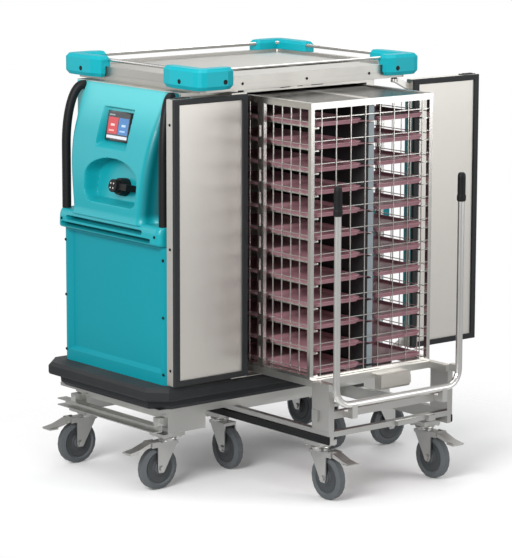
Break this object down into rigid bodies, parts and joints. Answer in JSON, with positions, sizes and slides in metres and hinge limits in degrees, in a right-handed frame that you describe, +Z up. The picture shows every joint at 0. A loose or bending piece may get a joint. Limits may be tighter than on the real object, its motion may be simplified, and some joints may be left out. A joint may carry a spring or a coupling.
{
  "type": "meal tray cart",
  "caption": "Enclosed meal tray cart with open doors, a pull-out wire rack of divided trays and its docking trolley on swivel castors",
  "frame": {"origin": "on the floor, under the middle of the bounding box", "axes": "+X to the end with the far door and away from the control end, -Y to the door side and the trolley, +Z up"},
  "size_m": [1.612, 1.331, 1.5423],
  "materials": {
    "stainless": "brushed stainless sheet",
    "bright_steel": "bright stainless wire and bar",
    "teal": "moulded teal plastic",
    "bright_teal": "moulded bright teal bumper",
    "charcoal": "grained charcoal plastic",
    "black": "black plastic",
    "tyre_grey": "grey non-marking tread",
    "seal": "soft black seal",
    "pink": "pink-mauve tray plastic",
    "divider": "pale grey-blue panel",
    "glass": "screen glass"
  },
  "bodies": {
    "cart": {"base_bumper": "charcoal", "subframe": "stainless", "body_shell": "stainless", "lower_housing": "teal", "upper_cover": "teal", "touch_screen": "glass", "power_socket": "black", "push_bow_left": "black", "push_bow_right": "black", "far_housing": "teal", "cooling_unit": "black", "roof_pan": "stainless", "door_header": "charcoal", "floor_pan": "bright_steel", "gallery_rail": "bright_steel", "corner_bumper_front_left": "bright_teal", "corner_bumper_front_right": "bright_teal", "corner_bumper_rear_left": "bright_teal", "corner_bumper_rear_right": "bright_teal"},
    "fan": {"fan_rotor": "divider"},
    "door_left": {"door_left": "stainless", "door_left_seal": "seal", "door_left_latch": "charcoal"},
    "door_right": {"door_right": "stainless", "door_right_seal": "seal", "door_right_latch": "charcoal", "door_right_cranks": "bright_steel"},
    "trolley": {"trolley_frame": "stainless", "trolley_buffer_left": "black", "trolley_buffer_right": "black", "trolley_gantry": "stainless", "trolley_deck": "bright_steel", "push_handle": "stainless", "handle_grip_left": "black", "handle_grip_right": "black", "docking_lock": "stainless"},
    "rack": {"rack_frame": "bright_steel", "rack_divider": "divider", "trays_front": "pink", "trays_rear": "pink"},
    "cart_castor_front_left_fork": {"cart_castor_front_left_fork": "bright_steel"},
    "cart_castor_front_left_wheel": {"cart_castor_front_left_wheel": "tyre_grey"},
    "cart_castor_front_left_pedal": {"cart_castor_front_left_pedal": "bright_steel"},
    "cart_castor_rear_left_fork": {"cart_castor_rear_left_fork": "bright_steel"},
    "cart_castor_rear_left_wheel": {"cart_castor_rear_left_wheel": "tyre_grey"},
    "cart_castor_rear_left_pedal": {"cart_castor_rear_left_pedal": "bright_steel"},
    "cart_castor_front_right_fork": {"cart_castor_front_right_fork": "bright_steel"},
    "cart_castor_front_right_wheel": {"cart_castor_front_right_wheel": "tyre_grey"},
    "cart_castor_rear_right_fork": {"cart_castor_rear_right_fork": "bright_steel"},
    "cart_castor_rear_right_wheel": {"cart_castor_rear_right_wheel": "tyre_grey"},
    "trolley_castor_front_left_fork": {"trolley_castor_front_left_fork": "bright_steel"},
    "trolley_castor_front_left_wheel": {"trolley_castor_front_left_wheel": "tyre_grey"},
    "trolley_castor_front_left_pedal": {"trolley_castor_front_left_pedal": "bright_steel"},
    "trolley_castor_front_right_fork": {"trolley_castor_front_right_fork": "bright_steel"},
    "trolley_castor_front_right_wheel": {"trolley_castor_front_right_wheel": "tyre_grey"},
    "trolley_castor_front_right_pedal": {"trolley_castor_front_right_pedal": "bright_steel"},
    "trolley_castor_rear_left_fork": {"trolley_castor_rear_left_fork": "bright_steel"},
    "trolley_castor_rear_left_wheel": {"trolley_castor_rear_left_wheel": "tyre_grey"},
    "trolley_castor_rear_right_fork": {"trolley_castor_rear_right_fork": "bright_steel"},
    "trolley_castor_rear_right_wheel": {"trolley_castor_rear_right_wheel": "tyre_grey"}
  },
  "joints": [
    {"name": "door_left_hinge", "type": "hinge", "parent": "cart", "child": "door_left", "pos_m": [-0.349, -0.1125, 0.919], "axis": [0, 0, 1], "range_deg": [0, 90]},
    {"name": "door_right_hinge", "type": "hinge", "parent": "cart", "child": "door_right", "pos_m": [0.394, -0.1125, 0.919], "axis": [0, 0, -1], "range_deg": [0, 90]},
    {"name": "fan_spin", "type": "hinge", "parent": "cart", "child": "fan", "pos_m": [-0.336, 0.2435, 0.925], "axis": [1, 0, 0], "continuous": true},
    {"name": "trolley_dock", "type": "slide", "parent": "cart", "child": "trolley", "axis": [0, -1, 0], "range_m": [0, 0.7]},
    {"name": "rack_shift", "type": "slide", "parent": "trolley", "child": "rack", "axis": [0, 1, 0], "range_m": [0, 0.41]},
    {"name": "cart_castor_front_left_swivel", "type": "hinge", "parent": "cart", "child": "cart_castor_front_left_fork", "pos_m": [-0.622, -0.0265, 0.195], "axis": [0, 0, 1], "continuous": true},
    {"name": "cart_castor_front_left_roll", "type": "hinge", "parent": "cart_castor_front_left_fork", "child": "cart_castor_front_left_wheel", "pos_m": [-0.668, -0.0265, 0.08], "axis": [0, -1, 0], "continuous": true},
    {"name": "cart_castor_front_left_brake", "type": "hinge", "parent": "cart_castor_front_left_fork", "child": "cart_castor_front_left_pedal", "pos_m": [-0.7, -0.0265, 0.172], "axis": [0, -1, 0], "range_deg": [0, 12]},
    {"name": "cart_castor_rear_left_swivel", "type": "hinge", "parent": "cart", "child": "cart_castor_rear_left_fork", "pos_m": [-0.622, 0.4835, 0.195], "axis": [0, 0, 1], "continuous": true},
    {"name": "cart_castor_rear_left_roll", "type": "hinge", "parent": "cart_castor_rear_left_fork", "child": "cart_castor_rear_left_wheel", "pos_m": [-0.668, 0.4835, 0.08], "axis": [0, -1, 0], "continuous": true},
    {"name": "cart_castor_rear_left_brake", "type": "hinge", "parent": "cart_castor_rear_left_fork", "child": "cart_castor_rear_left_pedal", "pos_m": [-0.7, 0.4835, 0.172], "axis": [0, -1, 0], "range_deg": [0, 12]},
    {"name": "cart_castor_front_right_swivel", "type": "hinge", "parent": "cart", "child": "cart_castor_front_right_fork", "pos_m": [0.41, -0.0265, 0.195], "axis": [0, 0, 1], "continuous": true},
    {"name": "cart_castor_front_right_roll", "type": "hinge", "parent": "cart_castor_front_right_fork", "child": "cart_castor_front_right_wheel", "pos_m": [0.456, -0.0265, 0.08], "axis": [0, 1, 0], "continuous": true},
    {"name": "cart_castor_rear_right_swivel", "type": "hinge", "parent": "cart", "child": "cart_castor_rear_right_fork", "pos_m": [0.41, 0.4835, 0.195], "axis": [0, 0, 1], "continuous": true},
    {"name": "cart_castor_rear_right_roll", "type": "hinge", "parent": "cart_castor_rear_right_fork", "child": "cart_castor_rear_right_wheel", "pos_m": [0.41, 0.4375, 0.08], "axis": [1, 0, 0], "continuous": true},
    {"name": "trolley_castor_front_left_swivel", "type": "hinge", "parent": "trolley", "child": "trolley_castor_front_left_fork", "pos_m": [-0.273, -0.4815, 0.195], "axis": [0, 0, 1], "continuous": true},
    {"name": "trolley_castor_front_left_roll", "type": "hinge", "parent": "trolley_castor_front_left_fork", "child": "trolley_castor_front_left_wheel", "pos_m": [-0.273, -0.5275, 0.08], "axis": [1, 0, 0], "continuous": true},
    {"name": "trolley_castor_front_left_brake", "type": "hinge", "parent": "trolley_castor_front_left_fork", "child": "trolley_castor_front_left_pedal", "pos_m": [-0.273, -0.5595, 0.172], "axis": [1, 0, 0], "range_deg": [0, 12]},
    {"name": "trolley_castor_front_right_swivel", "type": "hinge", "parent": "trolley", "child": "trolley_castor_front_right_fork", "pos_m": [0.237, -0.4815, 0.195], "axis": [0, 0, 1], "continuous": true},
    {"name": "trolley_castor_front_right_roll", "type": "hinge", "parent": "trolley_castor_front_right_fork", "child": "trolley_castor_front_right_wheel", "pos_m": [0.237, -0.5275, 0.08], "axis": [1, 0, 0], "continuous": true},
    {"name": "trolley_castor_front_right_brake", "type": "hinge", "parent": "trolley_castor_front_right_fork", "child": "trolley_castor_front_right_pedal", "pos_m": [0.237, -0.5595, 0.172], "axis": [1, 0, 0], "range_deg": [0, 12]},
    {"name": "trolley_castor_rear_left_swivel", "type": "hinge", "parent": "trolley", "child": "trolley_castor_rear_left_fork", "pos_m": [-0.273, 0.1045, 0.195], "axis": [0, 0, 1], "continuous": true},
    {"name": "trolley_castor_rear_left_roll", "type": "hinge", "parent": "trolley_castor_rear_left_fork", "child": "trolley_castor_rear_left_wheel", "pos_m": [-0.273, 0.0585, 0.08], "axis": [1, 0, 0], "continuous": true},
    {"name": "trolley_castor_rear_right_swivel", "type": "hinge", "parent": "trolley", "child": "trolley_castor_rear_right_fork", "pos_m": [0.237, 0.1045, 0.195], "axis": [0, 0, 1], "continuous": true},
    {"name": "trolley_castor_rear_right_roll", "type": "hinge", "parent": "trolley_castor_rear_right_fork", "child": "trolley_castor_rear_right_wheel", "pos_m": [0.237, 0.0585, 0.08], "axis": [1, 0, 0], "continuous": true}
  ]
}
